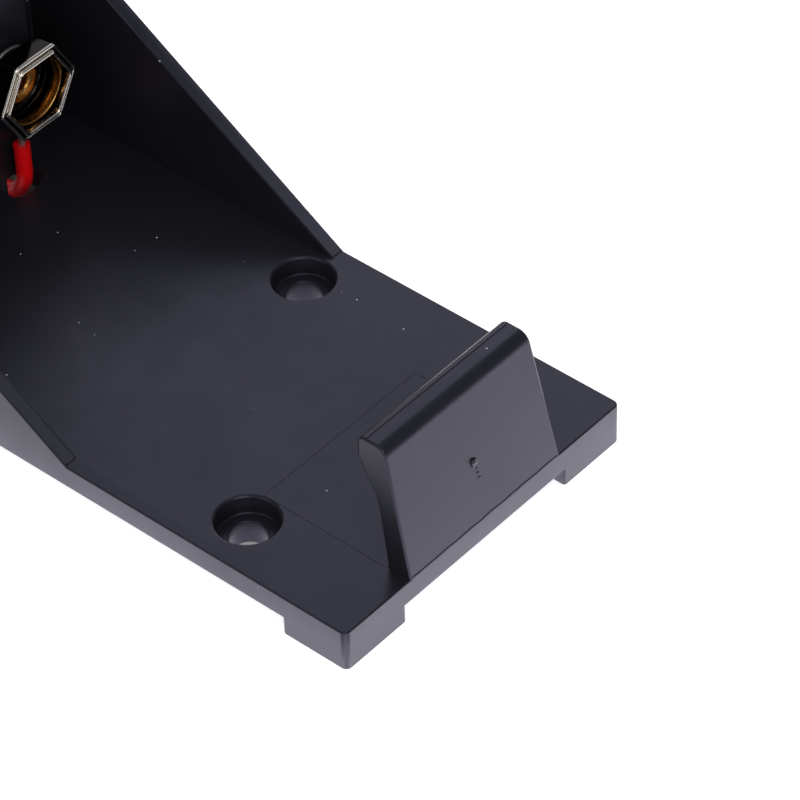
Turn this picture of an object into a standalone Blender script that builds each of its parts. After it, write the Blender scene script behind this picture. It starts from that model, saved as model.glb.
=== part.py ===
"""Nine volt battery holder: an open tray for a flat cell, with two snap contacts and one lead.

Metres, +Z up. The holder stands on its four feet with the origin under the middle of the moulding.
The spring tab is at the front (-Y), the end wall with the contacts at the back (+Y).
"""

import math

import bmesh
import bpy
from mathutils import Matrix, Vector

MM = 0.001

# The cell that lies in the tray
CELL_WIDTH = 26.5 * MM
CELL_THICKNESS = 17.5 * MM
SNAP_PITCH = 12.7 * MM

# Fits
CELL_SIDE_CLEARANCE = 0.15 * MM
CELL_FLOOR_CLEARANCE = 0.2 * MM
SEAT_GAP = 0.3 * MM
LEAD_CLEARANCE = 0.35 * MM

# Tray
FOOT_HEIGHT = 1.55 * MM
FOOT_WIDTH = 6.15 * MM
FOOT_DEPTH = 5.8 * MM
PLATE_THICKNESS = 1.95 * MM
CORNER_RADIUS = 0.5 * MM
EDGE_RADIUS = 0.12 * MM
SIDE_WALL_THICKNESS = 1.2 * MM
SIDE_WALL_HEIGHT = 19.1 * MM
SIDE_WALL_SLOPE_RUN = 30.2 * MM
SIDE_WALL_FLAT_TOP = 0.6 * MM

# End wall, which steps forward in the middle to carry the contacts
END_WALL_THICKNESS = 1.3 * MM
RIVET_SIDE_CLEARANCE = 0.35 * MM
RETURN_THICKNESS = 1.0 * MM
BACK_RECESS_DEPTH = 4.3 * MM

# Spring tab
TAB_FOOT_WIDTH = 15.86 * MM
TAB_TOP_WIDTH = 15.0 * MM
TAB_HEIGHT = 10.4 * MM
TAB_FOOT_THICKNESS = 2.0 * MM
TAB_LEAN = math.radians(12.4)
TAB_INNER_LEAN = math.radians(9.3)
TAB_LIP_REACH = 4.69 * MM
TAB_LIP_HEIGHT = 1.7 * MM
TAB_LIP_UNDERCUT = math.radians(30.4)
TAB_CREST_RADIUS = 1.0 * MM
TAB_LIP_RADIUS = 0.6 * MM
TAB_NOSE_RADIUS = 1.0 * MM
TAB_HOLLOW_RADIUS = 3.5 * MM
TAB_FOOT_FILLET = 0.3 * MM
TAB_EDGE_RADIUS = 0.2 * MM
TAB_TO_SOCKET = 45.2 * MM

# Screw holes: distances from the front edge and from the middle
SCREW_OFFSET = 10.5 * MM
LEFT_SCREW_FROM_FRONT = 12.5 * MM
RIGHT_SCREW_FROM_FRONT = 26.0 * MM
SCREW_BORE = 2.8 * MM
SCREW_HEAD = 4.6 * MM
SCREW_HEAD_DEPTH = 1.55 * MM
SCREW_HEAD_DRAFT = 0.05 * MM
SCREW_MOUTH_RADIUS = 0.25 * MM
SCREW_FLOOR_RADIUS = 0.1 * MM
SCREW_BOSS = 6.0 * MM

# Lead openings in the plate
LEAD_SLOT_INNER = 3.8 * MM
LEAD_SLOT_OUTER = 7.4 * MM
LEAD_SLOT_DEPTH = 2.75 * MM
LEAD_DOOR_HEIGHT = 1.45 * MM

# Snap contacts
CONTACT_STAND_OFF = 3.7 * MM
SHEET = 0.3 * MM
SOCKET_CORNER_RADIUS = 3.93 * MM
SOCKET_CROWN_DEPTH = 2.15 * MM
SOCKET_RIM_WALL = 0.52 * MM
SOCKET_NECK_RADIUS = 2.7 * MM
CUP_RADIUS = 2.85 * MM
CUP_WALL = 0.2 * MM
STUD_RADIUS = 2.86 * MM
STUD_NECK_RADIUS = 2.6 * MM
STUD_FLANGE_RADIUS = 3.9 * MM
STUD_MOUTH_RADIUS = 1.7 * MM
STUD_BEND_RADIUS = 0.6 * MM
RIVET_RADIUS = 1.1 * MM
RIVET_BORE_RADIUS = 0.75 * MM
RIVET_HEAD_RADIUS = 1.7 * MM
LUG_RADIUS = 2.5 * MM
LUG_TAG_WIDTH = 1.7 * MM
LUG_TAG_REACH = 5.2 * MM

# Lead
LEAD_DIAMETER = 1.3 * MM
CONDUCTOR_DIAMETER = 0.6 * MM
COIL_TURN_RADIUS = 7.8 * MM
COIL_FROM_BACK = 14.0 * MM

# Points that the lead follows, in millimetres: from its cut end at the lug to the coil, measured from
# the panel's face under the socket, then its free end and the bare conductor, from the coil's middle
LEAD_TO_COIL = [
    (0.00, -0.95, 6.30),
    (0.00, -0.95, 5.40),
    (0.00, -0.95, 4.50),
    (0.00, -0.92, 3.50),
    (0.01, -0.67, 2.45),
    (0.03, -0.05, 1.50),
    (0.07, 0.95, 0.95),
    (0.13, 2.15, 0.75),
    (0.23, 3.95, 0.70),
    (0.35, 6.15, 0.70),
    (0.41, 8.55, 0.70),
    (0.35, 10.95, 0.70),
    (0.20, 12.95, 0.70),
    (0.07, 14.45, 0.70),
]
LEAD_TAIL = [
    (-9.55, 1.00, 0.70),
    (-9.57, -1.50, 0.70),
    (-9.55, -3.05, 0.70),
    (-9.48, -4.50, 0.70),
]
BARE_END = [
    (-9.47, -4.80, 0.70),
    (-9.31, -7.30, 0.60),
    (-9.08, -9.80, 0.40),
]

# Worked out from the sizes above
PLATE_TOP = FOOT_HEIGHT + PLATE_THICKNESS
WALL_TOP = PLATE_TOP + SIDE_WALL_HEIGHT
WIDTH = CELL_WIDTH + 2 * CELL_SIDE_CLEARANCE + 2 * SIDE_WALL_THICKNESS
PANEL_FROM_FRONT = TAB_FOOT_THICKNESS + TAB_TO_SOCKET + CONTACT_STAND_OFF
LENGTH = PANEL_FROM_FRONT + END_WALL_THICKNESS + BACK_RECESS_DEPTH
FRONT = -LENGTH / 2
BACK = LENGTH / 2
PANEL_FACE = FRONT + PANEL_FROM_FRONT
PANEL_BACK = PANEL_FACE + END_WALL_THICKNESS
CONTACT_X = SNAP_PITCH / 2
RECESS_HALF_WIDTH = CONTACT_X + RIVET_HEAD_RADIUS + RIVET_SIDE_CLEARANCE
CONTACT_PANEL_HALF_WIDTH = RECESS_HALF_WIDTH + RETURN_THICKNESS
CONTACT_Z = PLATE_TOP + CELL_FLOOR_CLEARANCE + CELL_THICKNESS / 2
COIL_X = CONTACT_X - COIL_TURN_RADIUS
COIL_Y = BACK + COIL_FROM_BACK
COIL_INNER = COIL_TURN_RADIUS - LEAD_DIAMETER * 1.5 - LEAD_CLEARANCE / 4
COIL_OUTER = COIL_TURN_RADIUS + LEAD_DIAMETER / 2 + LEAD_CLEARANCE / 2
COIL_HEIGHT = 2.05 * LEAD_DIAMETER
LEAD_ORIGIN = Vector((CONTACT_X, PANEL_FACE, 0))
COIL_CENTRE = Vector((COIL_X, COIL_Y, 0))


def clear_scene():
    for old in list(bpy.data.objects):
        bpy.data.objects.remove(old, do_unlink=True)


def make_material(name, colour, roughness, metallic=0.0):
    material = bpy.data.materials.new(name)
    material.use_nodes = True
    shader = material.node_tree.nodes["Principled BSDF"]
    shader.inputs["Base Color"].default_value = (*colour, 1.0)
    shader.inputs["Roughness"].default_value = roughness
    shader.inputs["Metallic"].default_value = metallic
    return material


def add_object(name, bm, material=None):
    """Turn a bmesh into a named object. One without a material is a helper that isn't drawn."""
    bmesh.ops.recalc_face_normals(bm, faces=bm.faces)
    mesh = bpy.data.meshes.new(name)
    bm.to_mesh(mesh)
    bm.free()
    obj = bpy.data.objects.new(name, mesh)
    bpy.context.collection.objects.link(obj)
    if material is None:
        obj.hide_render = True
        obj.display_type = "WIRE"
    else:
        mesh.materials.append(material)
    return obj


def round_shading(obj):
    obj.data.shade_smooth()
    obj.data.set_sharp_from_angle(angle=math.radians(35))
    return obj


def combine(obj, other, operation):
    modifier = obj.modifiers.new(f"{operation.lower()} {other.name}", "BOOLEAN")
    modifier.operation = operation
    modifier.object = other


def round_edges(obj, radius=EDGE_RADIUS):
    """Take the sharpness off every hard edge, as a mould does."""
    edges = obj.modifiers.new("rounded edges", "BEVEL")
    edges.width = radius
    edges.segments = 2
    edges.limit_method = "ANGLE"
    edges.angle_limit = math.radians(40)


def rounded_outline(corners, steps=6):
    """Replace each corner (a, b, radius) by an arc that touches both of its sides."""
    points = []
    for index, (a, b, radius) in enumerate(corners):
        corner = Vector((a, b))
        if radius == 0:
            points.append(corner)
            continue
        before = Vector(corners[index - 1][:2])
        after = Vector(corners[(index + 1) % len(corners)][:2])
        to_before = (before - corner).normalized()
        to_after = (after - corner).normalized()
        half_angle = to_before.angle(to_after) / 2
        middle = corner + (to_before + to_after).normalized() * radius / math.sin(half_angle)
        start = corner + to_before * radius / math.tan(half_angle) - middle
        end = corner + to_after * radius / math.tan(half_angle) - middle
        for step in range(steps + 1):
            part = start.lerp(end, step / steps)
            points.append(middle + part.normalized() * radius)
    return points


def prism(name, outline, axis, low, high, material=None):
    """Extrude an outline along X (outline in Y, Z), Y (in X, Z) or Z (in X, Y)."""
    places = {
        "X": lambda a, b: Vector((low, a, b)),
        "Y": lambda a, b: Vector((a, low, b)),
        "Z": lambda a, b: Vector((a, b, low)),
    }
    direction = Vector([float(letter == axis) for letter in "XYZ"])
    bm = bmesh.new()
    base = bm.faces.new([bm.verts.new(places[axis](a, b)) for a, b in outline])
    grown = bmesh.ops.extrude_face_region(bm, geom=[base])
    top = [item for item in grown["geom"] if isinstance(item, bmesh.types.BMVert)]
    bmesh.ops.translate(bm, verts=top, vec=direction * (high - low))
    return add_object(name, bm, material)


def turned(name, profile, centre, sides=32, material=None, closed=True):
    """Turn a profile of (radius, depth, six_sidedness) about the line through centre along +Y.

    A six_sidedness of 1 gives a hexagon whose corner radius is the given radius, 0 gives a circle.
    A closed profile is a loop, as for a tube; an open one starts and ends on the axis.
    """
    bm = bmesh.new()
    rings = []
    for radius, depth, six_sided in profile:
        if radius == 0:
            rings.append([bm.verts.new(centre + Vector((0, depth, 0)))])
            continue
        ring = []
        for side in range(sides):
            angle = 2 * math.pi * side / sides
            from_flat = angle % math.radians(60) - math.radians(30)
            flat = math.cos(math.radians(30)) / math.cos(from_flat)
            reach = radius * (1 - six_sided + six_sided * flat)
            offset = Vector((reach * math.cos(angle), depth, reach * math.sin(angle)))
            ring.append(bm.verts.new(centre + offset))
        rings.append(ring)
    pairs = list(zip(rings, rings[1:]))
    if closed:
        pairs.append((rings[-1], rings[0]))
    for first, second in pairs:
        for side in range(sides):
            following = (side + 1) % sides
            corners = [first[side % len(first)], first[following % len(first)]]
            corners += [second[following % len(second)], second[side % len(second)]]
            bm.faces.new(list(dict.fromkeys(corners)))
    return round_shading(add_object(name, bm, material))


def arc_points(radius, depth, bend, start, end, steps=4):
    """Profile points (radius, depth) on an arc of radius bend, with angles from the +radius side."""
    angles = [math.radians(start + (end - start) * step / steps) for step in range(steps + 1)]
    return [(radius + bend * math.cos(angle), depth + bend * math.sin(angle)) for angle in angles]


def on_circle(points):
    return [(radius, depth, 0.0) for radius, depth in points]


def on_hexagon(points):
    return [(radius, depth, 1.0) for radius, depth in points]


def make_plate(material):
    half = WIDTH / 2
    outline = rounded_outline(
        [
            (-half, FRONT, CORNER_RADIUS),
            (half, FRONT, CORNER_RADIUS),
            (half, BACK, CORNER_RADIUS),
            (-half, BACK, CORNER_RADIUS),
        ]
    )
    plate = prism("holder_body", outline, "Z", FOOT_HEIGHT, PLATE_TOP, material)
    round_edges(plate)
    return plate


def make_feet():
    """The four corner feet, which share the plate's rounded corners."""
    feet = []
    half = WIDTH / 2
    for side in (-1, 1):
        for end, edge in ((-1, FRONT), (1, BACK)):
            outline = rounded_outline(
                [
                    (side * half, edge, CORNER_RADIUS),
                    (side * (half - FOOT_WIDTH), edge, CORNER_RADIUS / 2),
                    (side * (half - FOOT_WIDTH), edge - end * FOOT_DEPTH, CORNER_RADIUS),
                    (side * half, edge - end * FOOT_DEPTH, CORNER_RADIUS / 2),
                ]
            )
            top = FOOT_HEIGHT + PLATE_THICKNESS / 2
            foot = prism(f"foot {side} {end}", outline, "Z", 0.0, top)
            round_edges(foot)
            feet.append(foot)
    return feet


def make_side_wall(side):
    """A side wall with its sloping top edge, and the part of the end wall that joins it.

    The wall's toe is blunt inside the plate, so the slope never runs out along one of its edges.
    """
    buried = FOOT_HEIGHT + PLATE_THICKNESS / 2
    slope_end = Vector((BACK - SIDE_WALL_FLAT_TOP, WALL_TOP))
    slope = Vector((-SIDE_WALL_SLOPE_RUN, -SIDE_WALL_HEIGHT)) / SIDE_WALL_HEIGHT
    slope_start = slope_end + slope * (WALL_TOP - buried)
    toe = slope_start.x + PLATE_THICKNESS / 4
    half = side * WIDTH / 2
    inner = side * (WIDTH / 2 - SIDE_WALL_THICKNESS)
    joined = side * (CONTACT_PANEL_HALF_WIDTH - RETURN_THICKNESS / 2)
    step = BACK - END_WALL_THICKNESS
    outline = rounded_outline(
        [
            (half, toe, 0),
            (half, BACK, CORNER_RADIUS),
            (joined, BACK, 0),
            (joined, step, 0),
            (inner, step, CORNER_RADIUS / 2),
            (inner, toe, 0),
        ]
    )
    wall = prism(f"side wall {side}", outline, "Z", buried, WALL_TOP)
    above = [slope_start + slope * MM, slope_end - slope * MM, (slope_start.x - MM, WALL_TOP + MM)]
    combine(wall, prism(f"slope {side}", above, "X", -WIDTH, WIDTH), "DIFFERENCE")
    round_edges(wall)
    return wall


def make_contact_panel():
    """The middle of the end wall, which steps forward over a recess that is open at the back."""
    right = [
        (CONTACT_PANEL_HALF_WIDTH, PANEL_FACE, CORNER_RADIUS),
        (CONTACT_PANEL_HALF_WIDTH, BACK, 0),
        (RECESS_HALF_WIDTH, BACK, CORNER_RADIUS / 2),
        (RECESS_HALF_WIDTH, PANEL_BACK, CORNER_RADIUS / 2),
    ]
    left = [(-x, y, radius) for x, y, radius in reversed(right)]
    buried = FOOT_HEIGHT + PLATE_THICKNESS / 2
    panel = prism("contact panel", rounded_outline(right + left), "Z", buried, WALL_TOP)
    round_edges(panel)
    return panel


def make_tab():
    """The spring tab: both faces lean in, and a rounded lip overhangs the end of the cell.

    The fillet at its foot runs a little into the plate, so that it ends in a clean line.
    """
    inner_root = TAB_FOOT_THICKNESS
    lip_low = TAB_HEIGHT - TAB_LIP_HEIGHT
    undercut = math.tan(TAB_LIP_UNDERCUT)
    lean = math.tan(TAB_INNER_LEAN)
    meet = (TAB_LIP_REACH - inner_root - undercut * lip_low) / (lean - undercut)
    foot_end = inner_root + 2 * TAB_FOOT_FILLET
    buried = PLATE_THICKNESS / 2
    profile = rounded_outline(
        [
            (0, -buried, 0),
            (0, 0, 0),
            (math.tan(TAB_LEAN) * TAB_HEIGHT, TAB_HEIGHT, TAB_CREST_RADIUS),
            (TAB_LIP_REACH, TAB_HEIGHT, TAB_LIP_RADIUS),
            (TAB_LIP_REACH, lip_low, TAB_NOSE_RADIUS),
            (inner_root + lean * meet, meet, TAB_HOLLOW_RADIUS),
            (inner_root, 0, TAB_FOOT_FILLET),
            (foot_end, -TAB_FOOT_FILLET / 2, 0),
            (foot_end, -buried, 0),
        ]
    )
    outline = [(FRONT + point.x, PLATE_TOP + point.y) for point in profile]
    half = TAB_FOOT_WIDTH / 2
    tab = prism("tab", outline, "X", -half, half)
    narrowing = (1 - TAB_TOP_WIDTH / TAB_FOOT_WIDTH) / TAB_HEIGHT
    for vertex in tab.data.vertices:
        vertex.co.x *= 1 - narrowing * (vertex.co.z - PLATE_TOP)
    round_edges(tab, TAB_EDGE_RADIUS)
    return tab


def make_screw_boss(name, x, from_front, sides=40):
    """The tube below the plate through which a screw goes, as deep as the feet."""
    outline = []
    for side in range(sides):
        angle = 2 * math.pi * side / sides
        reach = SCREW_BOSS / 2
        outline.append((x + reach * math.cos(angle), FRONT + from_front + reach * math.sin(angle)))
    boss = prism(name, outline, "Z", 0.0, FOOT_HEIGHT + PLATE_THICKNESS / 2)
    round_edges(boss)
    return boss


def cut_screw_hole(body, name, x, from_front):
    """A bore with a counterbore for the screw's head, whose mouth is rounded over."""
    bore = SCREW_BORE / 2
    head = SCREW_HEAD / 2
    floor = PLATE_TOP - SCREW_HEAD_DEPTH
    mouth = SCREW_MOUTH_RADIUS
    profile = rounded_outline(
        [
            (0, -MM, 0),
            (bore, -MM, 0),
            (bore, floor, SCREW_FLOOR_RADIUS),
            (head - SCREW_HEAD_DRAFT, floor, SCREW_FLOOR_RADIUS),
            (head, PLATE_TOP, mouth),
            (head + 2 * mouth, PLATE_TOP, 0),
            (head + 2 * mouth, PLATE_TOP + MM, 0),
            (0, PLATE_TOP + MM, 0),
        ],
        steps=3,
    )
    heights = on_circle([(point.x, point.y) for point in profile])
    cutter = turned(name, heights, Vector((0, 0, 0)), sides=40, closed=False)
    cutter.data.transform(Matrix.Rotation(math.radians(90), 4, "X"))
    cutter.data.transform(Matrix.Translation((x, FRONT + from_front, 0)))
    combine(body, cutter, "DIFFERENCE")


def cut_box(body, name, x, y, z, corner=0.0):
    """Cut a box given by its (low, high) limits, with its upright corners rounded."""
    outline = [(x[0], y[0], corner), (x[1], y[0], corner), (x[1], y[1], corner), (x[0], y[1], corner)]
    combine(body, prism(name, rounded_outline(outline, 3), "Z", z[0], z[1]), "DIFFERENCE")


def cut_lead_way(body, side):
    """The slot through the plate at a contact, and the low door by which its lead goes out behind."""
    slot = sorted((side * LEAD_SLOT_INNER, side * LEAD_SLOT_OUTER))
    slot_y = (PANEL_FACE - LEAD_SLOT_DEPTH, PANEL_FACE)
    below = FOOT_HEIGHT - MM
    cut_box(body, f"lead slot {side}", slot, slot_y, (below, PLATE_TOP + MM), CORNER_RADIUS)
    half = LEAD_DIAMETER / 2 + LEAD_CLEARANCE
    door = (side * CONTACT_X - half, side * CONTACT_X + half)
    door_y = (PANEL_FACE - CORNER_RADIUS, PANEL_BACK + CORNER_RADIUS)
    cut_box(body, f"lead door {side}", door, door_y, (below, FOOT_HEIGHT + LEAD_DOOR_HEIGHT))


def make_holder_body(material):
    """The whole moulding: one piece of plastic."""
    body = make_plate(material)
    walls = [make_side_wall(-1), make_side_wall(1), make_contact_panel()]
    bosses = [
        make_screw_boss("left screw boss", -SCREW_OFFSET, LEFT_SCREW_FROM_FRONT),
        make_screw_boss("right screw boss", SCREW_OFFSET, RIGHT_SCREW_FROM_FRONT),
    ]
    for shape in [*make_feet(), *bosses, *walls, make_tab()]:
        combine(body, shape, "UNION")
    recess_y = (PANEL_BACK, BACK + MM)
    recess_z = (FOOT_HEIGHT - MM, PLATE_TOP + MM)
    cut_box(body, "open recess", (-RECESS_HALF_WIDTH, RECESS_HALF_WIDTH), recess_y, recess_z)
    cut_screw_hole(body, "left screw hole", -SCREW_OFFSET, LEFT_SCREW_FROM_FRONT)
    cut_screw_hole(body, "right screw hole", SCREW_OFFSET, RIGHT_SCREW_FROM_FRONT)
    for side in (-1, 1):
        cut_lead_way(body, side)
        reach = RIVET_RADIUS + SEAT_GAP
        outline = on_circle([(0, -MM), (reach, -MM), (reach, END_WALL_THICKNESS + MM)])
        outline.append((0, END_WALL_THICKNESS + MM, 0.0))
        centre = Vector((side * CONTACT_X, PANEL_FACE, CONTACT_Z))
        combine(body, turned(f"rivet hole {side}", outline, centre, 24, closed=False), "DIFFERENCE")
    return body


def contact_centre(side):
    """The middle of a contact's rim, in front of the panel."""
    return Vector((side * CONTACT_X, PANEL_FACE - CONTACT_STAND_OFF, CONTACT_Z))


def contact_base_back():
    """Depth from the rim to the back of a contact's base, which presses on the solder lug."""
    return CONTACT_STAND_OFF - 2 * SEAT_GAP - SHEET


def make_socket_shell(material):
    """The six-sided snap socket: sheet folded over at the rim, drawn in to a round neck."""
    outer = SOCKET_CORNER_RADIUS
    fold = SOCKET_RIM_WALL / 4
    inner = outer - SOCKET_RIM_WALL
    groove = outer - SOCKET_RIM_WALL / 2
    back = contact_base_back()
    crown = on_hexagon(
        arc_points(outer - fold, fold, fold, 0, -90, 3)
        + [(groove, 1.6 * fold)]
        + arc_points(inner + fold, fold, fold, 270, 180, 3)
        + [(inner, 3.5 * fold), (outer - SHEET, 5 * fold)]
        + [(outer - SHEET, SOCKET_CROWN_DEPTH - SHEET)]
    )
    neck = SOCKET_NECK_RADIUS
    bottom = on_circle(
        [
            (neck - SHEET, SOCKET_CROWN_DEPTH - SHEET / 2),
            (neck - SHEET, back - SHEET),
            (RIVET_RADIUS + SEAT_GAP, back - SHEET),
            (RIVET_RADIUS + SEAT_GAP, back),
            (neck - SHEET / 2, back),
            (neck, back - SHEET / 2),
            (neck, SOCKET_CROWN_DEPTH + SHEET / 2),
        ]
    )
    skirt = on_hexagon(
        [(outer - 2 * SHEET, SOCKET_CROWN_DEPTH)]
        + arc_points(outer - SHEET, SOCKET_CROWN_DEPTH - SHEET, SHEET, 90, 0, 3)
    )
    return turned("socket_shell", crown + bottom + skirt, contact_centre(1), 48, material)


def make_socket_spring_cup(material):
    """The brass cup in the socket, whose lips turn in to grip the stud of a cell."""
    outer = CUP_RADIUS
    inner = CUP_RADIUS - CUP_WALL
    front = SOCKET_RIM_WALL + SEAT_GAP / 2
    back = SOCKET_CROWN_DEPTH - SHEET - SEAT_GAP
    waist = (front + back) / 2
    profile = on_circle(
        [
            (inner - CUP_WALL / 2, front + CUP_WALL / 2),
            (inner + CUP_WALL / 4, front),
            (outer, front + CUP_WALL),
            (outer - CUP_WALL / 2, waist),
            (outer, back),
            (inner, back),
            (inner - CUP_WALL / 2, waist),
        ]
    )
    return turned("socket_spring_cup", profile, contact_centre(1), 36, material)


def make_stud_cap(material):
    """The round snap stud: drawn sheet with a swollen head, a neck and a flange, open in the middle."""
    back = contact_base_back()
    bend = STUD_BEND_RADIUS
    head = STUD_RADIUS - bend
    profile = on_circle(
        [(STUD_MOUTH_RADIUS, SHEET), (STUD_MOUTH_RADIUS + SHEET / 2, 0)]
        + arc_points(head, bend, bend, -90, 30, 5)
        + [(STUD_NECK_RADIUS, 2 * bend), (STUD_NECK_RADIUS, back - 2 * SHEET)]
        + [(STUD_NECK_RADIUS + SHEET, back - SHEET), (STUD_FLANGE_RADIUS, back - SHEET)]
        + [(STUD_FLANGE_RADIUS, back), (RIVET_RADIUS + SEAT_GAP, back)]
        + [(RIVET_RADIUS + SEAT_GAP, back - SHEET), (STUD_NECK_RADIUS - SHEET, back - SHEET)]
        + [(STUD_NECK_RADIUS - SHEET, 2 * bend), (head, bend)]
        + [(head - SHEET, SHEET)]
    )
    return turned("stud_cap", profile, contact_centre(-1), 36, material)


def make_rivet(name, side, material):
    """A tubular rivet: its head holds the contact's base, its tail is rolled over behind the panel."""
    base_front = contact_base_back() - SHEET
    head_back = base_front - SEAT_GAP / 2
    head_front = head_back - SHEET
    tail = CONTACT_STAND_OFF + END_WALL_THICKNESS + SEAT_GAP
    roll = SHEET
    profile = on_circle(
        [
            (RIVET_BORE_RADIUS + SHEET / 2, head_front),
            (RIVET_HEAD_RADIUS - SHEET / 2, head_front),
            (RIVET_HEAD_RADIUS, head_front + SHEET / 2),
            (RIVET_HEAD_RADIUS, head_back),
            (RIVET_RADIUS, head_back),
            (RIVET_RADIUS, tail),
            (RIVET_HEAD_RADIUS, tail),
            (RIVET_HEAD_RADIUS, tail + roll / 2),
            (RIVET_HEAD_RADIUS - roll, tail + 1.5 * roll),
            (RIVET_BORE_RADIUS + roll / 2, tail + 1.5 * roll),
            (RIVET_BORE_RADIUS, tail + roll),
            (RIVET_BORE_RADIUS, head_front + SHEET / 2),
        ]
    )
    return turned(name, profile, contact_centre(side), 24, material)


def make_lug(name, side, material):
    """The solder lug: a washer under the contact with a tag that points down."""
    back = PANEL_FACE - SEAT_GAP
    front = back - SHEET
    x = side * CONTACT_X
    steps = 28
    washer = []
    for step in range(steps):
        angle = 2 * math.pi * step / steps
        washer.append((x + LUG_RADIUS * math.cos(angle), CONTACT_Z + LUG_RADIUS * math.sin(angle)))
    lug = prism(name, washer, "Y", front, back, material)
    half = LUG_TAG_WIDTH / 2
    tip = CONTACT_Z - LUG_TAG_REACH
    tag = rounded_outline(
        [
            (x - half, CONTACT_Z - LUG_RADIUS / 2, 0),
            (x - half, tip, half * 0.9),
            (x + half, tip, half * 0.9),
            (x + half, CONTACT_Z - LUG_RADIUS / 2, 0),
        ]
    )
    combine(lug, prism(f"{name} tag", tag, "Y", front, back), "UNION")
    reach = RIVET_RADIUS + SEAT_GAP
    hole = on_circle([(0, -MM), (reach, -MM), (reach, MM)]) + [(0, MM, 0.0)]
    cutter = turned(f"{name} hole", hole, Vector((x, front, CONTACT_Z)), 24, closed=False)
    combine(lug, cutter, "DIFFERENCE")
    return lug


def make_solder_joint(material):
    """The stripped conductor of the lead, with the solder that holds it to the lug."""
    strand = CONDUCTOR_DIAMETER / 2
    blob = LUG_TAG_WIDTH / 3
    lead_end = LEAD_ORIGIN + Vector(LEAD_TO_COIL[0]) * MM
    start = lead_end + Vector((0, 0, SEAT_GAP / 2))
    lug_front = PANEL_FACE - SEAT_GAP - SHEET
    end = Vector((CONTACT_X, lug_front - blob - SEAT_GAP / 2, CONTACT_Z - LUG_TAG_REACH + 4 * blob))
    length = (end - start).length
    profile = on_circle(
        [(0, 0), (strand, 0), (strand, length * 0.25), (blob * 0.8, length * 0.45)]
        + [(blob, length * 0.65), (blob * 0.75, length * 0.85), (0, length)]
    )
    joint = turned("red_lead_solder_joint", profile, Vector((0, 0, 0)), 16, material, closed=False)
    turn = Vector((0, 1, 0)).rotation_difference(end - start).to_matrix().to_4x4()
    joint.data.transform(Matrix.Translation(start) @ turn)
    return joint


def smooth_route(points, origin, spacing):
    """Points about a spacing apart on a smooth curve through the ones given from an origin."""
    knots = [origin + Vector(point) * MM for point in points]
    ends = [2 * knots[0] - knots[1]] + knots + [2 * knots[-1] - knots[-2]]
    route = [knots[0]]
    for before, start, end, after in zip(ends, ends[1:], ends[2:], ends[3:]):
        steps = max(1, round((end - start).length / spacing))
        for step in range(1, steps + 1):
            t = step / steps
            leaving = (end - before) / 2
            arriving = (after - start) / 2
            start_share = 2 * t**3 - 3 * t**2 + 1
            end_share = 3 * t**2 - 2 * t**3
            place = start * start_share + end * end_share
            place += leaving * (t**3 - 2 * t**2 + t) + arriving * (t**3 - t**2)
            route.append(place)
    return route


def tube(name, route, diameter, material):
    curve = bpy.data.curves.new(name, "CURVE")
    curve.dimensions = "3D"
    curve.bevel_depth = diameter / 2
    curve.bevel_resolution = 2
    curve.use_fill_caps = True
    spline = curve.splines.new("POLY")
    spline.points.add(len(route) - 1)
    for point, place in zip(spline.points, route):
        point.co = (*place, 1.0)
    curve.materials.append(material)
    obj = bpy.data.objects.new(name, curve)
    bpy.context.collection.objects.link(obj)
    return obj


def make_red_lead(material):
    """The lead from its cut end at the lug, down the slot, out by the door and along the surface."""
    route = smooth_route(LEAD_TO_COIL, LEAD_ORIGIN, 1.5 * LEAD_DIAMETER)
    return tube("red_lead", route, LEAD_DIAMETER, material)


def make_red_lead_coil(material):
    """The outer shape of the coil in which the rest of the lead is put away."""
    bend = LEAD_DIAMETER / 2
    corners = [
        (COIL_INNER, 0, bend),
        (COIL_OUTER, 0, bend),
        (COIL_OUTER, COIL_HEIGHT, bend),
        (COIL_INNER, COIL_HEIGHT, bend),
    ]
    profile = on_circle([(point.x, point.y) for point in rounded_outline(corners, 3)])
    coil = turned("red_lead_coil", profile, Vector((0, 0, 0)), 40, material)
    coil.data.transform(Matrix.Rotation(math.radians(90), 4, "X"))
    coil.data.transform(Matrix.Translation(COIL_CENTRE))
    return coil


def make_red_lead_tail(material):
    """The free end of the lead, from the coil's left side towards the holder."""
    route = smooth_route(LEAD_TAIL, COIL_CENTRE, 1.5 * LEAD_DIAMETER)
    return tube("red_lead_tail", route, LEAD_DIAMETER, material)


def make_red_lead_end(material):
    """The stripped and tinned conductor at the free end."""
    route = smooth_route(BARE_END, COIL_CENTRE, LEAD_DIAMETER)
    return tube("red_lead_end", route, CONDUCTOR_DIAMETER, material)


def main():
    clear_scene()
    black_plastic = make_material("black plastic", (0.006, 0.006, 0.007), 0.42)
    nickel = make_material("nickel plate", (0.72, 0.70, 0.66), 0.2, 1.0)
    brass = make_material("brass", (0.72, 0.48, 0.16), 0.25, 1.0)
    tin = make_material("tin", (0.62, 0.62, 0.60), 0.4, 1.0)
    red_sheath = make_material("red insulation", (0.45, 0.006, 0.01), 0.4)
    make_holder_body(black_plastic)
    make_socket_shell(nickel)
    make_socket_spring_cup(brass)
    make_rivet("socket_rivet", 1, nickel)
    make_lug("socket_solder_lug", 1, tin)
    make_stud_cap(nickel)
    make_rivet("stud_rivet", -1, nickel)
    make_lug("stud_solder_lug", -1, tin)
    make_solder_joint(tin)
    make_red_lead(red_sheath)
    make_red_lead_coil(red_sheath)
    make_red_lead_tail(red_sheath)
    make_red_lead_end(tin)


main()
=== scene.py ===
"""Nine volt battery holder: finishes, wound lead, formed contacts and stage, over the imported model.

Metres, +Z up, in the model's own frame. Run it as a script, or from Blender's text editor.
"""

import math

import bpy
from bpy.props import FloatProperty, FloatVectorProperty, PointerProperty
from mathutils import Matrix, Vector, noise


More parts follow.
